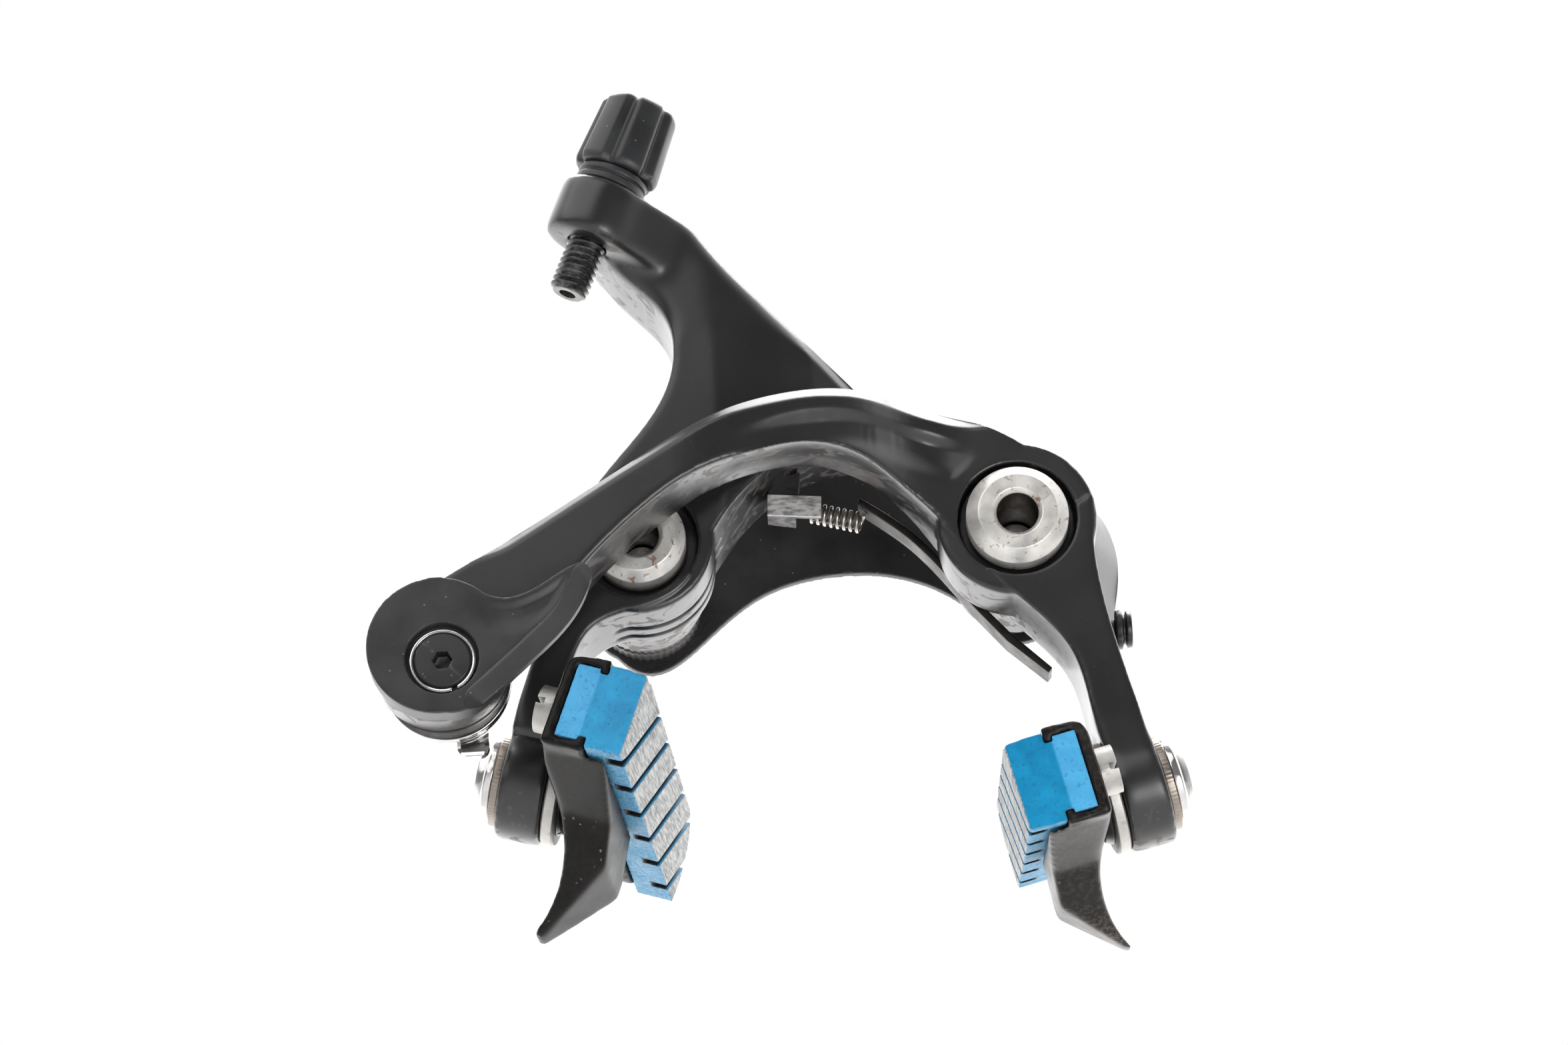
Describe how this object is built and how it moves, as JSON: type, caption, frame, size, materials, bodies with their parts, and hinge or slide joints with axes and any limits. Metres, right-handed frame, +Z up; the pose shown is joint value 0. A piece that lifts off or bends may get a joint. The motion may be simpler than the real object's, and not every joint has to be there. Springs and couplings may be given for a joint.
{
  "type": "rim brake caliper",
  "caption": "Direct-mount dual-pivot rim brake caliper with a quick-release lever, a cable adjuster and two cartridge brake shoes, resting fully open.",
  "frame": {"origin": "midway between the two frame bolts, on the plane where the booster plate meets the bicycle frame", "axes": "+X to the right as seen from in front of the caliper, +Y towards the bicycle frame along the frame bolts, +Z up, away from the brake shoes"},
  "size_m": [0.1183, 0.0573, 0.1339],
  "materials": {
    "arm_black": "satin",
    "plate_black": "matte",
    "pivot_steel": "machined",
    "bearing_plastic": "matte",
    "seal_rubber": "matte",
    "ring_plastic": "matte",
    "spring_steel": "plain",
    "strip_steel": "blackened",
    "screw_black": "blackened",
    "adjuster_black": "anodised",
    "chrome_steel": "polished",
    "bronze_steel": "serrated",
    "holder_black": "worn satin",
    "pad_blue": "matte"
  },
  "bodies": {
    "pivot_base": {"right_pivot_bush": "pivot_steel", "left_pivot_bush": "pivot_steel", "booster_plate": "plate_black", "right_rear_washer": "pivot_steel", "left_rear_ring": "ring_plastic"},
    "front_arm": {"front_arm": "arm_black", "right_plain_bearing": "bearing_plastic", "right_seal_ring": "seal_rubber", "spring_lever": "strip_steel", "cable_clamp_washer": "chrome_steel", "cable_clamp_plate": "chrome_steel", "cable_clamp_bolt": "chrome_steel", "right_toe_spacer": "pivot_steel", "right_serrated_washer": "bronze_steel"},
    "rear_arm": {"rear_arm": "arm_black", "left_plain_bearing": "bearing_plastic", "left_seal_ring": "seal_rubber", "spring_seat": "strip_steel", "return_spring": "spring_steel", "adjuster_detent": "ring_plastic", "left_toe_spacer": "pivot_steel", "left_serrated_washer": "bronze_steel"},
    "release_lever": {"quick_release_lever": "arm_black", "lever_circlip": "chrome_steel", "lever_screw": "screw_black", "release_shaft": "pivot_steel"},
    "centring_screw": {"centring_screw": "screw_black"},
    "adjuster_knob": {"adjuster_knob": "adjuster_black"},
    "adjuster_stem": {"adjuster_stem": "screw_black"},
    "left_shoe": {"left_pad_holder": "holder_black", "left_brake_pad": "pad_blue", "left_pad_screw": "pivot_steel", "left_toe_cup": "screw_black", "left_shoe_bolt": "pivot_steel", "left_dome_nut": "chrome_steel"},
    "right_shoe": {"right_pad_holder": "holder_black", "right_brake_pad": "pad_blue", "right_pad_screw": "pivot_steel", "right_toe_cup": "screw_black", "right_shoe_bolt": "pivot_steel", "right_dome_nut": "chrome_steel"}
  },
  "joints": [
    {"name": "front_arm_pivot", "type": "hinge", "parent": "pivot_base", "child": "front_arm", "pos_m": [0.028, -0.018, 0], "axis": [0, 1, 0], "range_deg": [0, 16], "stiffness_Nm_per_rad": 0.6, "springref_deg": -14.32},
    {"name": "rear_arm_pivot", "type": "hinge", "parent": "pivot_base", "child": "rear_arm", "pos_m": [-0.028, -0.018, 0], "axis": [0, 1, 0], "range_deg": [-18, 0]},
    {"name": "release_lever_turn", "type": "hinge", "parent": "front_arm", "child": "release_lever", "pos_m": [-0.0562, -0.05, -0.0234], "axis": [0, -1, 0], "range_deg": [0, 90]},
    {"name": "centring_screw_turn", "type": "hinge", "parent": "front_arm", "child": "centring_screw", "pos_m": [0.0413, -0.014, -0.012], "axis": [1, 0, 0], "range_deg": [-360, 360]},
    {"name": "adjuster_knob_turn", "type": "hinge", "parent": "rear_arm", "child": "adjuster_knob", "pos_m": [-0.02732, -0.0345, 0.06149], "axis": [0.3907, 0, 0.9205], "range_deg": [-900, 900]},
    {"name": "adjuster_stem_slide", "type": "slide", "parent": "rear_arm", "child": "adjuster_stem", "axis": [0.3907, 0, 0.9205], "range_m": [-0.0025, 0.0025]},
    {"name": "left_shoe_pitch", "type": "hinge", "parent": "rear_arm", "child": "left_shoe", "pos_m": [-0.046, -0.0255, -0.0342], "axis": [0.9613, 0, -0.2756], "range_deg": [-1, 10]},
    {"name": "right_shoe_pitch", "type": "hinge", "parent": "front_arm", "child": "right_shoe", "pos_m": [0.0429, -0.0255, -0.0408], "axis": [-0.9744, 0, -0.225], "range_deg": [-10, 10]}
  ],
  "couplings": [
    {"joint": "rear_arm_pivot", "follows": "front_arm_pivot", "ratio": -1.1},
    {"joint": "adjuster_knob_turn", "follows": "adjuster_stem_slide", "rad_per_m": 6283.2}
  ]
}
